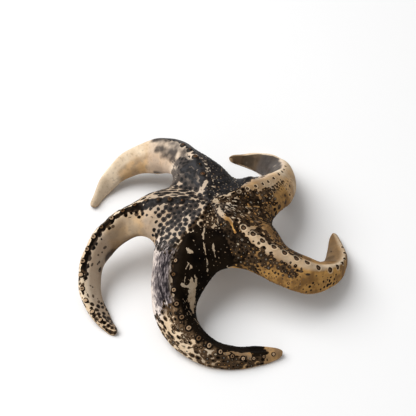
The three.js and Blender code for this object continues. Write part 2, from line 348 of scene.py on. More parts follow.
def relax(points, faces, give, rounds):
    """Each round moves a point by half of its give towards the mean of its neighbours."""
    n = len(points)
    pairs = np.sort(np.concatenate([faces[:, [0, 1]], faces[:, [1, 2]], faces[:, [2, 0]]]), axis=1)
    key = np.unique(pairs[:, 0] * n + pairs[:, 1])
    a, b = key // n, key % n
    near = (give[a] > 0) | (give[b] > 0)
    a, b = a[near], b[near]
    count = np.maximum(np.bincount(a, minlength=n) + np.bincount(b, minlength=n), 1)
    step = 0.5 * give / count
    for _ in range(rounds):
        for c in range(3):
            x = points[:, c]
            pull = np.bincount(a, x[b] - x[a], n) + np.bincount(b, x[a] - x[b], n)
            points[:, c] = x + step * pull
    return points


def normals_of(points, faces):
    """The outward direction at each point: the sum of its triangles' area vectors."""
    p = points[faces]
    area = np.cross(p[:, 1] - p[:, 0], p[:, 2] - p[:, 0])
    total = np.zeros_like(points)
    for c in range(3):
        total[:, c] = sum(np.bincount(faces[:, k], area[:, c], len(points)) for k in range(3))
    return total / np.linalg.norm(total, axis=1, keepdims=True)


points, faces, info = body_net()
points = relax(points, faces, info[:, 4], RELAX_ROUNDS)
normals = normals_of(points, faces)
sector, along, across = info[:, 0].astype(int), info[:, 1], info[:, 2]
above = info[:, 3] > 0
arm_number = {arm["name"]: i for i, arm in enumerate(ARMS)}

# A miss along the arm counts this many times more than one across it
ALONG_COUNTS = 10
# The soft borders of painted zones
SOFT_ALONG = 0.02
SOFT_ACROSS = 0.1
# The web between the two worn arms, across and along the second of them
WEB_ACROSS = (0.1, 0.8)
WEB_ALONG = (0.2, 0.34)


def vertex_at(name, t, share):
    """The net's upper point nearest to a place given as arm, share of its length and of its width."""
    miss = np.hypot((along - t) * ALONG_COUNTS, across - share)
    return int(np.argmin(np.where((sector == arm_number[name]) & above, miss, np.inf)))


def arm_direction():
    """At each point, the level direction in which its arm runs; by the web between the two
    worn arms it turns to run along the neighbour."""
    angle = np.zeros(len(points))
    for i, arm in enumerate(ARMS):
        own = heading(arm, along)
        if arm["worn"] and ARMS[i - 1]["worn"]:
            turn = ease(-across, *WEB_ACROSS) * (1 - ease(along, *WEB_ALONG))
            own = mix(own, heading(ARMS[i - 1], along), turn)
        angle = np.where(sector == i, own, angle)
    return polar(1.0, angle, np.zeros(len(points)))


def by_arm(table):
    """A table's rows, each with its arm's name."""
    return [(name, row) for name, rows in table.items() for row in rows]


def painted(zones):
    """A value at each point: zero, then each stroke's own value laid over it within its stretch
    of one arm, fading out over soft borders."""
    field = np.zeros(len(points))
    for name, (t_low, t_high, side_low, side_high, value) in by_arm(zones):
        inside = window(along, t_low, t_high, SOFT_ALONG) * window(across, side_low, side_high, SOFT_ACROSS)
        field = mix(field, value, np.where((sector == arm_number[name]) & above, inside, 0.0))
    return field


# Strokes by arm: from and to along it, from and to across it, value. Across runs from -1 on the
# outer edge over 0 on the crest to 1 on the inner edge, and 2 or -2 is beyond the edge.
# Where the dark pigment lies, and how dense it is
DARK = dict(
    A=[(-1, 0.14, -2, 2, 0.96), (-1, 0.13, -2, 0.0, 0.995), (0.6, 0.67, -2, -0.3, 0.88),
       (0.12, 0.6, -2, -0.1, 0.965), (0.12, 0.54, -2, -0.1, 1.0), (0.11, 0.3, -0.15, 0.48, 0.98),
       (0.12, 0.25, 0.45, 2, 0.92), (0.28, 0.36, 0.05, 0.4, 0.955), (0.3, 0.55, -2, 0.04, 1.0)],
    B=[(-1, 0.14, -2, 2, 0.93), (0.12, 0.55, -2, -0.14, 0.92), (0.12, 0.24, 0.1, 0.6, 0.93),
       (0.12, 0.27, 0.55, 2, 0.915), (0.55, 0.82, -2, -0.3, 0.6), (0.06, 0.5, -0.14, 0.19, 0.975),
       (0.46, 0.72, -0.1, 0.24, 0.98), (0.2, 0.62, 0.18, 0.29, 0.8), (0.7, 0.85, -0.3, 0.15, 0.88),
       (0.82, 0.96, -0.5, 2, 0.84), (0.8, 0.94, -2, -0.5, 0.7), (0.94, 1.1, -2, 2, 0.87)],
    C=[(-1, 0.2, -2, 2, 0.925), (-1, 0.16, 0.1, 2, 0.965), (0.18, 0.28, -2, -0.1, 0.92),
       (0.44, 0.68, -2, -0.6, 0.915), (0.44, 0.68, -0.6, 0.1, 0.955), (0.66, 0.92, -2, 0.2, 0.965),
       (0.12, 0.22, -0.14, 0.08, 0.97), (0.18, 0.94, -0.16, 0.16, 1.0), (0.14, 0.94, 0.02, 2, 1.0)],
    D=[(-1, 0.2, -2, 2, 0.95), (0.1, 0.3, -2, -0.13, 0.985), (0.28, 0.38, -0.9, -0.1, 0.972),
       (0.36, 0.49, -0.68, -0.14, 0.962), (0.1, 0.26, -0.02, 2, 0.965), (0.22, 0.36, -0.02, 0.25, 0.97),
       (0.22, 0.36, 0.25, 2, 0.965), (0.34, 0.5, 0.02, 2, 0.955), (0.34, 0.66, -2, -0.5, 0.6)],
    E=[(-1, 0.2, -2, 2, 0.955), (0.1, 0.24, -2, -0.08, 0.97), (0.22, 0.34, -0.75, -0.08, 0.965),
       (0.32, 0.42, -0.5, -0.12, 0.95), (0.22, 0.3, -2, -0.7, 0.88), (0.3, 0.5, -2, -0.3, 0.45),
       (0.34, 0.42, 0.2, 2, 0.9), (0.08, 0.36, 0.14, 2, 0.965), (0.08, 0.31, 0.14, 2, 1.0)],
)
# Where the bare ground turns from cream (0) to golden brown (1)
GOLD = dict(
    A=[(0.38, 0.8, 0.4, 2, 0.5)],
    B=[(0.15, 0.5, 0.1, 2, 0.45)],
    C=[(0.72, 1.1, -2, 2, 0.75)],
    D=[(-1, 0.06, 0.5, 2, 0.35), (0.1, 0.95, -2, -0.15, 0.95), (0.15, 0.6, -0.15, 0.14, 0.35),
       (0.16, 0.75, 0.12, 2, 0.9), (0.75, 1.1, 0.1, 2, 0.6)],
    E=[(0.12, 0.3, -0.2, 0.2, 0.65), (0.28, 0.44, -0.2, 0.2, 0.4), (0.12, 0.4, -2, -0.2, 0.9),
       (0.4, 0.47, -2, -0.2, 0.65), (0.47, 0.55, -2, -0.2, 0.4), (0.55, 0.64, -2, -0.2, 0.2),
       (0.93, 1.1, -2, 2, 0.3)],
)
# Where the bare ground is darker: partly a deeper tone of its own over the disc, and partly painted shade
# on flanks and tips turned from the light
TONE_AND_SHADE = dict(
    A=[(-1, 0.3, -2, 2, 0.5), (0.45, 1.0, 0.75, 2, 0.7), (0.86, 1.1, -2, 2, 0.6)],
    B=[(-1, 0.3, -2, 2, 0.5), (0.24, 0.42, 0.1, 2, 0.4), (0.4, 1.0, 0.25, 2, 1.2),
       (0.34, 0.66, 0.75, 2, 1.5)],
    C=[(-1, 0.3, -2, 2, 0.5), (0.1, 0.62, 0.05, 2, 1.0), (0.64, 1.1, -2, 2, 0.8)],
    D=[(-1, 0.16, -2, 2, 0.5), (0.15, 0.75, -0.3, 0.3, 0.35), (0.3, 0.9, -2, -0.3, 0.6),
       (0.7, 1.1, -2, 2, 0.8), (0.72, 1.1, 0.15, 2, 1.5), (0.2, 0.72, 0.2, 2, 0.9)],
    E=[(-1, 0.2, -2, 2, 0.6), (0.48, 0.8, -2, -0.3, 0.3), (0.14, 0.4, -2, 0.1, 0.6),
       (0.92, 1.1, -2, 2, 1.2)],
)
# Where pigment and ground are cool grey or mauve (1) and not brown
COOL = dict(
    A=[(-1, 0.6, -2, 2, 0.8), (-1, 0.5, -2, -0.1, 0.5)],
    B=[(-1, 0.3, -2, 2, 0.6), (0.5, 1.1, 0.15, 2, 0.6)],
    C=[(-1, 0.28, -2, -0.25, 0.7)],
    D=[(-1, 0.1, -2, 2, 0.4)],
    E=[(0.0, 0.4, 0.1, 2, 0.5), (0.5, 0.82, 0.0, 2, 0.8)],
)
# Where pale granules show in the dark skin
GRANULES = dict(
    A=[(-1, 0.5, -2, -0.08, 0.8)],
    B=[(0.8, 1.1, -2, 2, 0.25)],
    C=[(0.1, 0.6, 0.1, 2, 0.4), (0.5, 0.9, -2, 0.1, 0.4), (-1, 0.16, 0.15, 2, 0.85)],
    D=[(-1, 0.28, -2, -0.2, 0.8), (0.26, 0.5, -0.9, -0.16, 0.6), (-1, 0.48, 0.12, 2, 1.0)],
    E=[(-1, 0.26, -2, -0.14, 1.0), (0.22, 0.42, -0.6, -0.14, 0.8), (-1, 0.36, 0.14, 2, 0.8)],
)
# Where a soft dark stain veils the skin
VEIL = dict(
    A=[(0.1, 0.3, 0.1, 0.62, 0.95), (0.27, 0.37, 0.1, 0.5, 0.9), (0.22, 0.36, 0.5, 0.86, 0.9),
       (0.2, 0.34, 0.86, 2, 0.6), (0.4, 0.56, 0.16, 0.42, 0.85), (0.38, 0.5, 0.34, 0.56, 0.75),
       (0.6, 0.65, 0.34, 0.44, 0.5), (0.44, 0.6, -0.4, 0.12, 1.0), (0.34, 0.5, -0.05, 0.24, 0.6),
       (0.46, 0.54, 0.9, 2, 0.75)],
    B=[(0.34, 0.5, 0.88, 2, 0.85), (0.48, 0.56, 0.8, 2, 0.8)],
    D=[(0.72, 0.84, 0.3, 2, 0.55), (0.4, 0.72, 0.55, 2, 0.5)],
    E=[(0.44, 0.98, 0.16, 2, 1.2), (0.52, 0.66, 0.1, 0.4, 0.9), (0.68, 1.0, 0.03, 0.3, 1.2)],
)
# Where the pigment has faded to a paler brown
FADED = dict(
    B=[(0.72, 1.1, -2, 2, 0.5)],
    C=[(0.46, 0.72, -2, 0.0, 1.0), (0.72, 0.95, -2, -0.2, 0.4)],
    D=[(0.1, 0.45, -2, -0.3, 0.3)],
)
# Where the outer flank of one arm is mauve-grey
MAUVE = dict(C=[(0.235, 0.475, -2, -0.08, 1.0)])
# Where pale dashes run lengthwise
DASHES = dict(
    A=[(0.24, 0.4, 0.4, 0.85, 0.7)],
    C=[(0.24, 0.48, -2, -0.14, 1.0), (0.44, 0.62, -2, -0.3, 0.5)],
)
# Where tubercles are drawn out along the arm
DRAWN_OUT = dict(
    A=[(0.05, 0.24, 0.4, 2, 0.6)],
    B=[(0.1, 0.55, -2, -0.1, 1.0)],
    C=[(0.48, 0.75, -2, 0.0, 0.4)],
    D=[(0.06, 0.45, 0.14, 2, 1.0), (0.14, 0.3, -2, -0.3, 0.3)],
    E=[(0.05, 0.3, -2, -0.35, 1.0)],
)
# Where the skin is rough with tubercles
ROUGH = dict(
    A=[(-1, 0.4, -2, 2, 0.8)],
    B=[(-1, 0.3, -2, 2, 1.0), (0.25, 0.6, -2, -0.05, 0.7), (0.8, 1.0, -2, 2, 0.5)],
    C=[(-1, 0.9, -2, 2, 0.7)],
    D=[(-1, 0.45, -2, -0.25, 1.0), (-1, 0.3, -0.3, 2, 1.0), (0.4, 0.75, -0.8, -0.3, 0.4)],
    E=[(-1, 0.38, -2, 2, 1.0)],
)
# Bare streaks, as stops from one end to the other: along, across and half width in mm
BARE = dict(
    A=[[(0.128, -0.1, 0.6), (0.101, 0.08, 0.95), (0.086, 0.22, 0.5)],
       [(0.285, 0.11, 0.2), (0.241, 0.14, 0.25), (0.202, 0.12, 0.2), (0.168, 0.19, 0.5),
        (0.13, 0.22, 0.3)],
       [(0.213, 0.0, 0.3), (0.202, 0.1, 0.35)],
       [(0.29, -0.1, 0.1), (0.263, -0.14, 0.2), (0.213, -0.19, 0.2), (0.162, -0.31, 0.25),
        (0.134, -0.42, 0.3)],
       [(0.106, -0.36, 0.35), (0.095, -0.69, 0.25)],
       [(0.29, 0.1, 0.3), (0.33, 0.13, 0.6), (0.4, 0.1, 0.8)]],
    C=[[(0.372, 0.4, 1.3), (0.422, 0.53, 2.3), (0.45, 0.57, 2.0), (0.485, 0.56, 1.2)],
       [(0.346, 0.25, 0.2), (0.376, 0.37, 0.9)],
       [(0.324, 0.26, 0.15), (0.368, 0.44, 0.9)],
       [(0.39, 0.17, 0.7), (0.384, 0.36, 0.45)],
       [(0.357, 0.17, 0.4), (0.37, 0.18, 0.25), (0.384, 0.19, 0.35)],
       [(0.246, 0.05, 0.75), (0.252, 0.1, 0.45)],
       [(0.285, 0.09, 0.45), (0.31, 0.1, 0.25), (0.33, 0.11, 0.2)],
       [(0.134, 0.25, 0.3), (0.185, 0.28, 0.36), (0.224, 0.28, 0.3), (0.258, 0.28, 0.18)],
       [(0.262, 0.28, 0.2), (0.28, 0.32, 0.3), (0.302, 0.42, 0.5), (0.324, 0.61, 0.2)],
       [(0.185, 0.47, 0.25), (0.213, 0.47, 0.45), (0.235, 0.5, 0.3), (0.262, 0.6, 0.15)],
       [(0.199, 0.05, 0.4), (0.203, 0.1, 0.35)],
       [(0.45, 0.25, 0.15), (0.472, 0.28, 0.18), (0.505, 0.31, 0.13), (0.527, 0.42, 0.2),
        (0.552, 0.57, 0.35)],
       [(0.24, -0.18, 0.25), (0.269, -0.14, 0.42), (0.302, -0.14, 0.2)],
       [(0.312, -0.14, 0.3), (0.346, -0.14, 0.36), (0.37, -0.13, 0.15)],
       [(0.395, -0.12, 0.15), (0.444, -0.08, 0.55), (0.462, -0.1, 0.25)],
       [(0.755, -0.05, 0.9), (0.785, 0.03, 1.1), (0.815, 0.0, 0.8), (0.85, 0.02, 1.0)],
       [(0.85, 0.02, 0.7), (0.852, -0.25, 0.9)],
       [(0.575, -0.78, 0.5), (0.609, -0.72, 1.3), (0.63, -0.55, 0.3)],
       [(0.09, 0.99, 0.35), (0.11, 0.93, 0.28), (0.129, 0.47, 0.25)]],
    D=[[(0.05, 0.05, 0.4), (0.073, -0.42, 1.0), (0.106, -0.37, 0.75), (0.146, -0.25, 0.75),
        (0.179, -0.36, 0.4)]],
    E=[[(0.056, 0.19, 0.3), (0.078, 0.08, 0.5), (0.09, -0.12, 0.4), (0.106, 0.0, 0.5),
        (0.138, 0.03, 0.35)],
       [(0.022, -0.85, 1.35), (0.035, -0.3, 0.7)],
       [(0.14, -0.97, 0.25), (0.165, -0.93, 0.3), (0.19, -0.89, 0.25)]],
)
# Dark marks: along, across, half length and half width in mm
MARKS = dict(
    B=[(0.335, 0.19, 0.9, 0.9), (0.346, 0.12, 0.8, 0.7), (0.455, 0.25, 0.75, 0.65),
       (0.375, 0.24, 0.3, 0.3), (0.532, 0.58, 0.9, 0.6), (0.559, 0.58, 0.45, 0.4),
       (0.587, 0.47, 0.45, 0.45), (0.628, 0.2, 1.2, 0.8), (0.645, 0.33, 1.3, 0.45),
       (0.66, 0.2, 1.0, 0.45), (0.685, 0.11, 1.7, 0.45), (0.71, 0.04, 1.2, 0.5), (0.61, 0.6, 0.7, 0.5),
       (0.625, 0.55, 0.5, 0.4), (0.636, 0.75, 1.2, 0.8), (0.729, 0.11, 0.4, 0.4),
       (0.746, 0.31, 0.5, 0.35), (0.751, 0.4, 0.4, 0.35), (0.746, 0.05, 0.9, 0.5),
       (0.789, 0.14, 0.8, 0.4), (0.795, 0.33, 0.9, 0.5), (0.806, 0.0, 0.9, 0.5), (0.828, 0.5, 0.7, 0.6),
       (0.811, 0.5, 0.3, 0.3)],
    C=[(0.772, 0.02, 0.7, 0.35)],
    D=[(0.422, -0.3, 1.2, 0.9), (0.463, -0.27, 0.9, 0.35), (0.488, -0.27, 1.6, 0.55),
       (0.515, -0.33, 1.5, 0.5), (0.547, -0.36, 1.4, 0.3), (0.575, -0.42, 1.3, 0.25),
       (0.6, -0.5, 1.1, 0.22), (0.64, -0.6, 1.1, 0.22), (0.461, -0.64, 0.5, 0.45),
       (0.488, -0.67, 0.45, 0.4), (0.51, -0.66, 0.35, 0.3), (0.535, -0.68, 0.4, 0.3),
       (0.43, -0.62, 0.45, 0.4), (0.405, -0.6, 0.4, 0.4), (0.885, 0.5, 0.9, 0.35)],
    E=[(0.302, -0.72, 1.3, 1.1), (0.351, -0.67, 1.1, 0.8), (0.37, -0.5, 0.8, 0.6),
       (0.433, -0.47, 1.1, 0.6), (0.4, -0.6, 0.6, 0.5)],
)
# The row on each crest: first and last knob, gap in mm at root and tip, radius, how light it is at
# root and tip, and its sideways lean
CREST = dict(
    A=dict(first=0.174, last=0.46, gap=(5.3, 5.3), radius=1.15, light=(0.15, 0.1), lean=[(0, 0)]),
    B=dict(first=0.123, last=0.95, gap=(4.7, 4.5), radius=1.1, light=(0.05, 0.95),
           lean=[(0.1, 0.0), (0.3, -0.02), (0.5, -0.04), (0.62, -0.04), (0.8, -0.02)]),
    C=dict(first=0.3, last=0.97, gap=(5.8, 3.6), radius=1.1, light=(0.36, 0.62),
           lean=[(0.7, -0.05), (0.83, -0.3)]),
    D=dict(first=0.207, last=0.9, gap=(4.45, 4.45), radius=1.25, light=(0, 0),
           lean=[(0.2, -0.02), (0.4, 0.04), (0.53, 0.03), (0.63, -0.24), (0.73, -0.1)]),
    E=dict(first=0.157, last=0.6, gap=(3.6, 4.0), radius=0.78, light=(0, 0),
           lean=[(0, -0.07), (1, -0.05)]),
)
# Where along an arm its knobs shrink, to what size, and how their lightness swings between knobs
KNOBS_SHRINK = 0.6
KNOB_TIP_SIZE = 0.6
LIGHT_SWING = 0.12
LIGHT_BEAT = 47
# Tubercles: their gap in mm, also among granules, their stretch, the places tried, and their sizes
TUBERCLE_GAP = 1.7
GRANULE_GAP = 0.85
STRETCH = 2.0
SPOT_TRIES = 26000
SPOT_SIZES = (0.8, 1.25)
# The search for the nearest spot: its reach in mm, the value for none, and points taken at once
REACH = 4.0
NOWHERE = 9.0
CHUNK = 600
# Waves: count, shortest and longest in mm, and how far they lead the streaks astray
LUMP_WAVES = (24, 7, 20)
WANDER_WAVES = (5, 1.6, 5)
WANDER = 0.11


def crest_row():
    """The knobs' and pits' points, radii, whether each is a pit, and how light its middle is,
    walked along every crest."""
    places, radii, pits, light = [], [], [], []
    for arm in ARMS:
        row = CREST[arm["name"]]
        t = row["first"]
        while t < row["last"]:
            share = np.interp(t, *zip(*row["lean"]))
            places.append(vertex_at(arm["name"], t, share))
            radii.append(row["radius"] * mix(1.0, KNOB_TIP_SIZE, ease(t, KNOBS_SHRINK, 1.0)))
            pits.append(float(arm["worn"]))
            light.append(mix(*row["light"], t) + LIGHT_SWING * math.sin(LIGHT_BEAT * t))
            t += mix(*row["gap"], t) / arm["length"]
    return points[places], np.array(radii), np.array(pits), np.array(light)


def scatter(gap, stretch, direction):
    """Spots thrown at random over the skin, each kept only where no kept one is within its gap,
    measured shorter along the arm where tubercles are drawn out."""
    order = rng.permutation(np.flatnonzero(above))[:SPOT_TRIES]
    kept = []
    while len(order):
        spot = order[0]
        kept.append(spot)
        step = points[order] - points[spot]
        lengthwise = step @ direction[spot]
        reach = (step ** 2).sum(1) - lengthwise ** 2 * (1 - 1 / stretch[spot] ** 2)
        order = order[reach > gap[spot] ** 2]
    return np.array(kept)


def nearest(centres, size, stretch, direction):
    """At each point, the least squared distance to a centre over its squared size, its share
    of the second least, and which centre it is."""
    best = np.full(len(points), NOWHERE)
    share = np.ones(len(points))
    which = np.zeros(len(points), int)
    for start in range(0, len(points), CHUNK):
        rows = slice(start, start + CHUNK)
        low, high = points[rows].min(0) - REACH, points[rows].max(0) + REACH
        close = np.flatnonzero(((centres > low) & (centres < high)).all(1))
        if len(close) < 2:
            continue
        step = points[rows, None] - centres[None, close]
        lengthwise = (step * direction[None, close]).sum(2)
        reach = (step ** 2).sum(2) - lengthwise ** 2 * (1 - 1 / stretch[close] ** 2)
        reach = reach / size[close] ** 2
        which[rows] = close[reach.argmin(1)]
        two = np.partition(reach, 1, axis=1)
        best[rows] = two[:, 0]
        share[rows] = two[:, 0] / two[:, 1]
    return best, share, which


def waves(count, shortest, longest):
    """A sum of level waves through space, each with its own direction, length and phase."""
    total = np.zeros(len(points))
    for _ in range(count):
        wave = rng.normal(0, 1, 3)
        wave *= 2 * math.pi / rng.uniform(shortest, longest) / np.linalg.norm(wave)
        total += np.sin(points @ wave + rng.uniform(0, 2 * math.pi))
    return total


def streaks():
    """1 on the middle line of a streak, 0.5 on its edge: a chain of tapering capsules whose
    course and width wander a little."""
    field = np.zeros(len(points))
    astray = points + WANDER * np.stack([waves(*WANDER_WAVES) for _ in range(3)], -1)
    for name, stops in by_arm(BARE):
        course = points[[vertex_at(name, t, share) for t, share, _ in stops]]
        widths = [wide for _, _, wide in stops]
        for a, b, wide_a, wide_b in zip(course, course[1:], widths, widths[1:]):
            run = b - a
            part = np.clip((astray - a) @ run / max(run @ run, 1e-9), 0, 1)
            gap = np.linalg.norm(astray - a - part[:, None] * run, axis=1)
            field = np.maximum(field, 1 - 0.5 * gap / mix(wide_a, wide_b, part))
    return field


def marks(direction):
    """1 at the middle of a dark mark, 0.5 on its edge: an oval drawn out along the arm."""
    field = np.zeros(len(points))
    for name, (t, share, long, wide) in by_arm(MARKS):
        middle = vertex_at(name, t, share)
        step = points - points[middle]
        lengthwise = step @ direction[middle]
        sideways = (step ** 2).sum(1) - lengthwise ** 2
        field = np.maximum(field, 1 - 0.5 * (lengthwise ** 2 / long ** 2 + sideways / wide ** 2))
    return field


# The underside in mm: half an arm's width at shares of its length, the groove, the row of knobs on
# each bank of it, and the mouth where the grooves meet
HALF_WIDTH = [(0.0, 0.0), (0.28, 12.0), (0.5, 8.5), (0.7, 6.5), (0.88, 4.5), (1.0, 1.5)]
MEAN_LENGTH = 86.0
GROOVE_LINE = 1.7
BANK_GAP = 2.0
BANK_ASIDE = 3.1
BANK_WIDTH = 0.75
BANK_STARTS = (0.07, 0.12)
UNDER_FADES = (0.8, 0.98)
MOUTH_WIDTH = 3.4


def underside():
    """From 0 to 1 at each point: the groove, the banks, the mouth, and the beat of the knobs, a
    cosine wave as long as their gap."""
    aside = np.abs(across) * np.interp(along, *zip(*HALF_WIDTH))
    fading = 1 - ease(along, *UNDER_FADES)
    groove = bell(aside, GROOVE_LINE) * fading * ~above
    beat = 0.5 + 0.5 * np.cos(2 * math.pi * along * MEAN_LENGTH / BANK_GAP)
    bank = bell(aside - BANK_ASIDE, BANK_WIDTH) * beat * ease(along, *BANK_STARTS) * fading
    mouth = bell(along * MEAN_LENGTH, MOUTH_WIDTH, 4) * ~above
    return groove, bank * ~above, mouth, beat


# The relief in mm; spreads are in squared distance over squared size, and the rim's in distance
LUMP_HEIGHT = 0.04
KNOB_HEIGHT, KNOB_SPREAD = 0.6, 0.9
DENT_DEPTH, DENT_SPREAD = 0.22, 0.07
PIT_DEPTH, PIT_SPREAD = 0.5, 0.5
RIM_HEIGHT, RIM_AT, RIM_SPREAD = 0.12, 1.1, 0.3
TUBERCLE_HEIGHT, TUBERCLE_SPREAD = 0.16, 0.045
BANK_HEIGHT = 0.45
MOUTH_DEPTH = 0.9
NOTCH_DEPTH = 0.3


def crest_relief(knob, pit):
    """Knobs are bells with a small dent on top, and pits are hollows with a raised rim."""
    knobs = KNOB_HEIGHT * bell(knob, KNOB_SPREAD) - DENT_DEPTH * bell(knob, DENT_SPREAD, 1)
    pits = -PIT_DEPTH * bell(knob, PIT_SPREAD) + RIM_HEIGHT * bell(np.sqrt(knob) - RIM_AT, RIM_SPREAD)
    return np.where(pit > 0.5, pits, knobs) * above


# What lies where; the looks depend on the order of the random draws
direction = arm_direction()
granules = painted(GRANULES)
drawn_out = mix(1.0, STRETCH, painted(DRAWN_OUT))
gap = mix(TUBERCLE_GAP, GRANULE_GAP, granules)
spots = scatter(gap, drawn_out, direction)
spot_size = gap[spots] * rng.uniform(*SPOT_SIZES, len(spots))
spot, border, owner = nearest(points[spots], spot_size, drawn_out[spots], direction[spots])
mood = rng.uniform(0, 1, len(spots))[owner]
knob_points, knob_radii, knob_pits, knob_light = crest_row()
knob, _, knob_owner = nearest(knob_points, knob_radii, np.ones(len(knob_radii)), np.zeros_like(knob_points))
pit = knob_pits[knob_owner]
bare = streaks()
groove, bank, mouth, beat = underside()

# The relief goes along the skin's own outward direction
relief = LUMP_HEIGHT * waves(*LUMP_WAVES) + crest_relief(knob, pit)
relief = relief + TUBERCLE_HEIGHT * painted(ROUGH) * bell(spot, TUBERCLE_SPREAD, 1)
relief = relief + BANK_HEIGHT * bank - MOUTH_DEPTH * mouth - NOTCH_DEPTH * groove * beat
points = points + normals * relief[:, None]
points[:, 2] = np.maximum(points[:, 2], 0)


def add_object(name, data):
    """A new object with this data, in the scene."""
    thing = bpy.data.objects.new(name, data)
    bpy.context.scene.collection.objects.link(thing)
    return thing


def new_material(name):
    """A material with nodes, and its Principled shader."""
    material = bpy.data.materials.new(name)
    material.use_nodes = True
    return material, material.node_tree.nodes["Principled BSDF"]


def make_piece(name, points_mm, faces, values, lie):
    """A mesh from arrays of points and triangles, with named numbers on its points and a
    map that runs along and across the arms in centimetres."""
    mesh = bpy.data.meshes.new(name)
    mesh.vertices.add(len(points_mm))
    mesh.vertices.foreach_set("co", ((points_mm + CENTRE) * MM).astype(np.float32).ravel())
    mesh.loops.add(faces.size)
    mesh.loops.foreach_set("vertex_index", faces.astype(np.int32).ravel())
    mesh.polygons.add(len(faces))
    mesh.polygons.foreach_set("loop_start", np.arange(0, faces.size, 3, dtype=np.int32))
    mesh.update(calc_edges=True)
    mesh.shade_smooth()
    for key, value in values.items():
        layer = mesh.attributes.new(key, "FLOAT", "POINT")
        layer.data.foreach_set("value", value.astype(np.float32))
    uv = mesh.uv_layers.new(name="lie")
    uv.data.foreach_set("uv", lie[faces].astype(np.float32).ravel())
    return add_object(name, mesh)


# Cover grows with a power of the painted density, and by 1 more where that is nearly full, and
# outwards runs over this part of the outer flank
COVER_GAIN = 1.25
COVER_POWER = 3.2
COVER_FULL = (0.95, 1.0)
OUTWARDS = (0.2, 1.0)
# The size in centimetres of the map along and across the arms
LIE_SIZE = (8.7, 1.3)

dark = painted(DARK)
# The tone zones carry painted shade on flanks turned from the light, as well as deeper tone
zones = dict(gold=GOLD, cool=COOL, tone=TONE_AND_SHADE, veil=VEIL, faded=FADED, mauve=MAUVE, dashes=DASHES)
skin_numbers = {name: painted(table) for name, table in zones.items()}
skin_numbers |= dict(
    cover=COVER_GAIN * dark ** COVER_POWER + ease(dark, *COVER_FULL),
    granules=granules, mood=mood, spot=spot, border=border,
    knob=np.where(above, knob, NOWHERE), pit=pit, glow=knob_light[knob_owner],
    bare=bare, mark=marks(direction), outwards=ease(-across, *OUTWARDS),
    under=(~above).astype(float), groove=np.maximum(groove, mouth), bank=bank,
)
lie = np.stack([along, across], -1) * LIE_SIZE
starfish_skin = make_piece("starfish_skin", points, faces, skin_numbers, lie)


def srgb(red, green, blue):
    """A shader's colour from its screen values."""
    c = np.array([red, green, blue]) / 255
    linear = np.where(c <= 0.04045, c / 12.92, ((c + 0.055) / 1.055) ** 2.4)
    return (*linear.tolist(), 1.0)


# Colours as 0 to 255 screen values, in pairs where a noise mixes two
# Bare ground
CREAM = (210, 183, 150), (235, 216, 189)
GOLDEN = (126, 87, 38), (200, 150, 80)
GOLDEN_FLECK = (84, 58, 30)
COOL_GROUND = (200, 182, 168)
# A deep brown for darker ground, which also serves as painted shade on flanks turned from the light
DEEP_AND_SHADED_GROUND = (84, 64, 44)
BROWN_SPECK = (120, 92, 66)
# Pigment: near black at a tubercle's middle, brown or grey round it, darker where it is dense
BROWN_BLACK = (7, 5, 3)
BROWN_INK = (30, 22, 15), (74, 57, 41)
BROWN_DENSE = (7, 5, 4), (32, 24, 16)
GREY_BLACK = (8, 7, 6)
GREY_INK = (56, 51, 49)
GREY_DENSE = (18, 17, 18), (50, 49, 52)
THIN_INK = (96, 80, 66)
FADED_INK = (116, 92, 68)
# Stains and the mauve flank
BROWN_STAIN = (34, 24, 17), (72, 56, 42)
GREY_STAIN = (20, 19, 23), (60, 55, 55)
MAUVE_SKIN = (34, 30, 33), (122, 112, 112)
MAUVE_PALE = (228, 214, 204)
# Granules
GREY_GRAIN = (104, 96, 86)
GOLDEN_GRAIN = (172, 122, 64)
CREAM_GRAIN = (164, 148, 124)
# Crest row
COLLAR = (20, 15, 11)
RING = (86, 60, 34), (190, 160, 128)
KNOB_TOP = (34, 24, 16)
KNOB_SPARK = (176, 106, 44)
# The pit's pale rim is a painted highlight, and its wall's dark is partly painted shade in the hollow
PIT_RIM_HIGHLIGHT = (220, 196, 164)
PIT_WALL_AND_SHADE = (40, 30, 22)
PIT_FLOOR = (98, 76, 58)
# Underside
TAN = (138, 112, 84), (184, 158, 126)
TAN_FLECK = (84, 62, 42)
BANK_CREAM = (206, 184, 152)
GROOVE_BROWN = (58, 38, 24)

# Noises through the skin, from broad to fine: scale, detail and roughness
NOISES = dict(cloud=(90, 4, 0.55), clump=(230, 2, 0.5), ragged=(420, 4, 0.6),
              speck=(900, 3, 0.6), fine=(1100, 2, 0.5))
# The noise that is drawn out along the arms
DRAWN_NOISE = (5, 3, 0.6)
DRAWN_STRETCH = (1, 4, 1)
ROUGHNESS = {"To Min": 0.38, "To Max": 0.62}
BUMP = {"Strength": 0.35, "Distance": 0.0003}


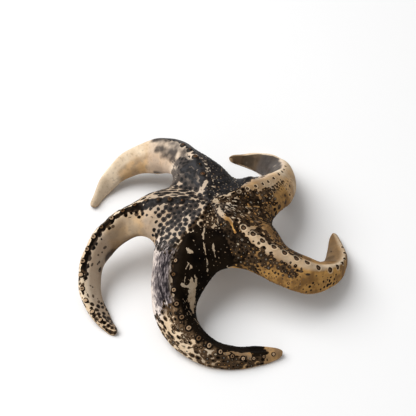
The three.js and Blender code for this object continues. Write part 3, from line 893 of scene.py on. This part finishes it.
class Maker:
    """Adds nodes to one material; every method but node and feed returns a node's output."""

    def __init__(self, material):
        self.tree = material.node_tree

    def node(self, kind, inputs=(), **settings):
        """A new node with these settings, fed with these inputs."""
        made = self.tree.nodes.new(kind)
        for key, value in settings.items():
            setattr(made, key, value)
        for key, value in dict(inputs).items():
            self.feed(made.inputs[key], value)
        return made

    def feed(self, socket, value):
        """Links an output to the socket, or sets a plain value."""
        if isinstance(value, bpy.types.NodeSocket):
            self.tree.links.new(value, socket)
        else:
            socket.default_value = value

    def math(self, operation, *values):
        """One step of arithmetic on outputs or plain numbers."""
        return self.node("ShaderNodeMath", enumerate(values), operation=operation).outputs[0]

    def plus(self, total, *values):
        """The sum of all the values."""
        for value in values:
            total = self.math("ADD", total, value)
        return total

    def times(self, product, *values):
        """The product of all the values."""
        for value in values:
            product = self.math("MULTIPLY", product, value)
        return product

    def sway(self, value, middle, gain):
        """The value less its middle, times the gain."""
        return self.times(self.math("SUBTRACT", value, middle), gain)

    def without(self, value, share):
        """The value, less this share of it."""
        return self.times(value, self.math("SUBTRACT", 1.0, share))

    def step(self, value, low, high):
        """0 at low, 1 at high, and a smooth step between; low may be the greater."""
        ends = (low, high, 0.0, 1.0) if low < high else (high, low, 1.0, 0.0)
        inputs = dict(zip(("From Min", "From Max", "To Min", "To Max"), ends), Value=value)
        made = self.node("ShaderNodeMapRange", inputs, interpolation_type="SMOOTHSTEP", clamp=True)
        return made.outputs["Result"]

    def blend(self, share, a, b):
        """The colour that is this share of the way from a to b, both outputs or screen values."""
        a, b = (c if isinstance(c, bpy.types.NodeSocket) else srgb(*c) for c in (a, b))
        return self.node("ShaderNodeMix", {"Factor": share, 6: a, 7: b}, data_type="RGBA").outputs[2]

    def noise(self, vector, scale, detail, rough):
        """A cloudy noise from 0 to 1."""
        inputs = dict(Vector=vector, Scale=scale, Detail=detail, Roughness=rough)
        return self.node("ShaderNodeTexNoise", inputs).outputs["Fac"]


def skin_fields(m):
    """What the colours go by: the numbers on the points, and the noises."""
    f = SimpleNamespace()
    for name in skin_numbers:
        setattr(f, name, m.node("ShaderNodeAttribute", attribute_name=name).outputs["Fac"])
    place = m.node("ShaderNodeTexCoord").outputs["Object"]
    for name, settings in NOISES.items():
        setattr(f, name, m.noise(place, *settings))
    lie = m.node("ShaderNodeUVMap", uv_map="lie").outputs["UV"]
    lengthwise = m.node("ShaderNodeMapping", dict(Vector=lie, Scale=DRAWN_STRETCH))
    f.drawn = m.noise(lengthwise.outputs[0], *DRAWN_NOISE)
    f.rag = m.sway(f.ragged, 0.5, 0.34)
    return f


def bare_ground(m, f):
    """Cream to golden brown, cooled where the skin is grey, darkened by a deeper tone and by painted shade,
    and specked.
    """
    ground = m.blend(m.step(f.cloud, 0.35, 0.65), *CREAM)
    golden = m.blend(m.step(f.clump, 0.35, 0.65), *GOLDEN)
    golden = m.blend(m.times(m.step(f.ragged, 0.45, 0.3), 0.7), golden, GOLDEN_FLECK)
    ground = m.blend(f.gold, ground, golden)
    ground = m.blend(m.times(f.cool, 0.6), ground, COOL_GROUND)
    # Deeper tone and painted shade: the ground darkens towards a deep brown
    ground = m.blend(m.times(f.tone, 0.7), ground, m.blend(0.7, ground, DEEP_AND_SHADED_GROUND))
    return m.blend(m.times(m.step(f.speck, 0.5, 0.75), 0.35), ground, BROWN_SPECK)


def with_stains(m, f, ground):
    """Soft stains, broken up lengthwise where there are dashes."""
    stroke = m.times(m.math("SUBTRACT", 0.5, f.drawn), 3.0)
    stain = m.plus(f.veil, m.sway(f.clump, 0.5, 1.6), m.times(stroke, f.dashes))
    stain = m.times(m.step(stain, 0.2, 0.95), m.step(f.veil, 0.05, 0.3))
    brown = m.blend(m.step(f.clump, 0.4, 0.6), *BROWN_STAIN)
    grey = m.blend(m.step(f.cloud, 0.42, 0.6), *GREY_STAIN)
    return m.blend(m.times(stain, 0.94), ground, m.blend(f.cool, brown, grey))


def with_mauve(m, f, ground):
    """The mauve flank, paler outwards in lengthwise strokes."""
    pale = m.plus(f.outwards, m.sway(f.drawn, 0.5, 2.4), m.sway(f.clump, 0.28, 0.9))
    mauve = m.blend(m.step(pale, 0.05, 0.6), *MAUVE_SKIN)
    mauve = m.blend(m.step(pale, 0.5, 0.95), mauve, MAUVE_PALE)
    return m.blend(f.mauve, ground, mauve)


def pigment_level(m, f):
    """Above zero where pigment lies: round each tubercle, and further out the denser it is."""
    far_out = m.plus(m.times(f.border, 0.45), m.times(f.spot, 1.5))
    level = m.plus(m.math("SUBTRACT", f.cover, far_out), m.times(f.rag, 3.2))
    return m.plus(level, m.sway(f.clump, 0.5, 1.3), m.sway(f.fine, 0.5, 0.5), m.sway(f.mood, 0.5, 0.35))


def pigment_share(m, f, level):
    """Where the pigment shows: not in pale dashes or bare streaks, but in every dark mark."""
    pigment = m.times(m.step(level, -0.05, 0.1), m.step(f.cover, 0.0, 0.06))
    pigment = m.without(pigment, m.times(m.step(f.drawn, 0.57, 0.63), f.dashes))
    chipped = m.plus(m.times(f.rag, 2.3), m.sway(f.fine, 0.5, 0.5))
    pigment = m.without(pigment, m.step(m.plus(f.bare, chipped), 0.48, 0.58))
    marked = m.step(m.plus(f.mark, m.times(f.rag, 0.9)), 0.42, 0.54)
    return m.math("MAXIMUM", pigment, marked)


def ink(m, f, level):
    """The pigment's colour: brown or grey, thinner at its edge and paler where it has faded."""
    brown = m.blend(m.step(f.ragged, 0.4, 0.62), *BROWN_INK)
    brown = m.blend(m.step(f.spot, 0.05, 0.2), BROWN_BLACK, brown)
    dense = m.blend(m.step(f.cloud, 0.3, 0.7), *BROWN_DENSE)
    brown = m.blend(m.step(f.cover, 1.2, 1.8), brown, dense)
    grey = m.blend(m.step(f.spot, 0.07, 0.2), GREY_BLACK, GREY_INK)
    dense = m.blend(m.step(f.ragged, 0.4, 0.6), *GREY_DENSE)
    grey = m.blend(m.step(f.cover, 1.3, 1.8), grey, dense)
    colour = m.blend(f.cool, brown, grey)
    colour = m.blend(m.times(m.step(level, 0.3, 0.0), 0.35), colour, THIN_INK)
    paled = m.times(f.faded, m.step(f.spot, 0.06, 0.3), m.step(f.ragged, 0.62, 0.38))
    return m.blend(paled, colour, FADED_INK)


def with_granules(m, f, colour):
    """Pale granules in the dark, each grey, gold or cream by its mood."""
    size = m.times(m.plus(m.times(f.mood, 0.17), 0.01), f.granules)
    size = m.plus(size, m.times(f.rag, 0.45))
    grain = m.step(m.math("SUBTRACT", size, f.spot), -0.012, 0.012)
    grain = m.times(grain, m.step(f.granules, 0.1, 0.4), m.step(f.mood, 0.25, 0.45))
    kind = m.math("FRACT", m.times(f.mood, 17.3))
    golden = m.times(m.step(kind, 0.35, 0.5), m.math("MULTIPLY_ADD", f.gold, 0.7, 0.25))
    look = m.blend(golden, GREY_GRAIN, GOLDEN_GRAIN)
    look = m.blend(m.step(kind, 0.86, 0.9), look, CREAM_GRAIN)
    return m.blend(grain, colour, look)


def knob_look(m, f, colour):
    """A dark collar, a ring that is lighter the more it glows, and a dark top or a spark."""
    off = m.times(m.plus(m.times(f.rag, 2.2), 1.0), f.knob)
    ring = m.blend(m.step(f.glow, 0.3, 0.75), *RING)
    colour = m.blend(m.step(off, 2.0, 1.5), colour, COLLAR)
    colour = m.blend(m.times(m.step(off, 0.62, 0.42), m.step(f.glow, 0.05, 0.3)), colour, ring)
    colour = m.blend(m.times(m.step(off, 0.26, 0.14), m.step(f.glow, 0.9, 0.5)), colour, KNOB_TOP)
    return m.blend(m.times(m.step(off, 0.075, 0.04), m.step(f.glow, 0.34, 0.24)), colour, KNOB_SPARK)


def pit_look(m, f, colour):
    """A pale rim that is a painted highlight, a dark brown wall deepened by painted shade in the hollow,
    and a paler floor.
    """
    off = m.times(m.plus(f.rag, 1.0), f.knob)
    # Painted highlight on the rim
    colour = m.blend(m.times(m.step(off, 1.9, 1.3), 0.45), colour, PIT_RIM_HIGHLIGHT)
    # Dark wall, partly painted shade in the hollow
    colour = m.blend(m.step(off, 0.92, 0.74), colour, PIT_WALL_AND_SHADE)
    return m.blend(m.step(off, 0.44, 0.2), colour, PIT_FLOOR)


def with_crest_row(m, f, colour):
    """Knobs and pits along the crests."""
    row = m.blend(f.pit, knob_look(m, f, colour), pit_look(m, f, colour))
    return m.blend(m.step(f.knob, 2.6, 2.3), colour, row)


def with_underside(m, f, colour):
    """Pale skin below, with a brown groove between rows of cream knobs."""
    below = m.blend(m.step(f.cloud, 0.35, 0.65), *TAN)
    below = m.blend(m.times(m.step(f.ragged, 0.5, 0.36), 0.5), below, TAN_FLECK)
    below = m.blend(m.step(f.bank, 0.3, 0.7), below, BANK_CREAM)
    below = m.blend(m.step(f.groove, 0.15, 0.7), below, GROOVE_BROWN)
    return m.blend(f.under, colour, below)


def dried_skin():
    """The one finish of the whole starfish."""
    material, shader = new_material("dried_skin")
    m = Maker(material)
    f = skin_fields(m)
    ground = with_mauve(m, f, with_stains(m, f, bare_ground(m, f)))
    level = pigment_level(m, f)
    colour = m.blend(pigment_share(m, f, level), ground, ink(m, f, level))
    colour = with_underside(m, f, with_crest_row(m, f, with_granules(m, f, colour)))
    rough = m.node("ShaderNodeMapRange", {"Value": f.speck, **ROUGHNESS}).outputs["Result"]
    height = m.plus(m.times(f.speck, 0.5), m.times(f.ragged, 0.5))
    m.feed(shader.inputs["Base Color"], colour)
    m.feed(shader.inputs["Specular IOR Level"], m.math("MULTIPLY_ADD", f.cool, 0.2, 0.01))
    m.feed(shader.inputs["Roughness"], rough)
    m.feed(shader.inputs["Normal"], m.node("ShaderNodeBump", {"Height": height, **BUMP}).outputs["Normal"])
    return material


starfish_skin.data.materials.append(dried_skin())
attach(starfish_skin, "root")
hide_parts("starfish")

# Half the floor's width in metres, and its colour and roughness
FLOOR_HALF = 2.0
FLOOR_WHITE = (0.9, 0.9, 0.9, 1)
FLOOR_ROUGHNESS = 0.9


def pale_floor():
    """A plain white floor, wide enough to fill the view."""
    corners = [(x * FLOOR_HALF, y * FLOOR_HALF, 0) for x, y in ((-1, -1), (1, -1), (1, 1), (-1, 1))]
    mesh = bpy.data.meshes.new("floor")
    mesh.from_pydata(corners, [], [(0, 1, 2, 3)])
    floor = add_object("floor", mesh)
    material, shader = new_material("pale_floor")
    shader.inputs["Base Color"].default_value = FLOOR_WHITE
    shader.inputs["Roughness"].default_value = FLOOR_ROUGHNESS
    mesh.materials.append(material)


# The lights, with places and sizes in metres, and the strength of the white surroundings
LIGHT_TARGET = (0, 0, 0.01)
KEY_LIGHT = dict(place=(-0.66, 0.2, 0.92), size=1.0, power=15.0)
FRONT_FILL = dict(place=(-0.1, -1.0, 0.28), size=0.5, power=1.4)
SURROUNDINGS = 0.37


def area_light(name, place, size, power):
    """A white light that faces the starfish."""
    data = bpy.data.lights.new(name, "AREA")
    data.energy = power
    data.size = size
    light = add_object(name, data)
    light.location = place
    aim = Vector(LIGHT_TARGET) - light.location
    light.rotation_euler = aim.to_track_quat("-Z", "Y").to_euler()


def studio():
    """White surroundings, one large soft light high at the back left and a weak one in front."""
    area_light("key_light", **KEY_LIGHT)
    area_light("front_fill", **FRONT_FILL)
    world = bpy.data.worlds.new("studio")
    world.use_nodes = True
    background = world.node_tree.nodes["Background"]
    background.inputs["Color"].default_value = (1, 1, 1, 1)
    background.inputs["Strength"].default_value = SURROUNDINGS
    bpy.context.scene.world = world
    bpy.context.scene.view_settings.view_transform = "Standard"


# The camera looks down at 47 degrees from the front, square on to the disc
VIEW_ELEVATION = math.radians(47)
VIEW_ANGLE = math.radians(20)
VIEW_DISTANCE = 0.4954
VIEW_TARGET = (-0.0024, 0.02545, 0.0)


def photo_camera():
    """The camera of the picture that the starfish is matched to."""
    data = bpy.data.cameras.new("camera")
    data.sensor_fit = "HORIZONTAL"
    data.angle = VIEW_ANGLE
    data.clip_start = 0.01
    camera = add_object("camera", data)
    back = VIEW_DISTANCE * math.cos(VIEW_ELEVATION)
    up = VIEW_DISTANCE * math.sin(VIEW_ELEVATION)
    camera.location = (VIEW_TARGET[0], VIEW_TARGET[1] - back, VIEW_TARGET[2] + up)
    camera.rotation_euler = (math.pi / 2 - VIEW_ELEVATION, 0, 0)
    bpy.context.scene.camera = camera


pale_floor()
photo_camera()
studio()
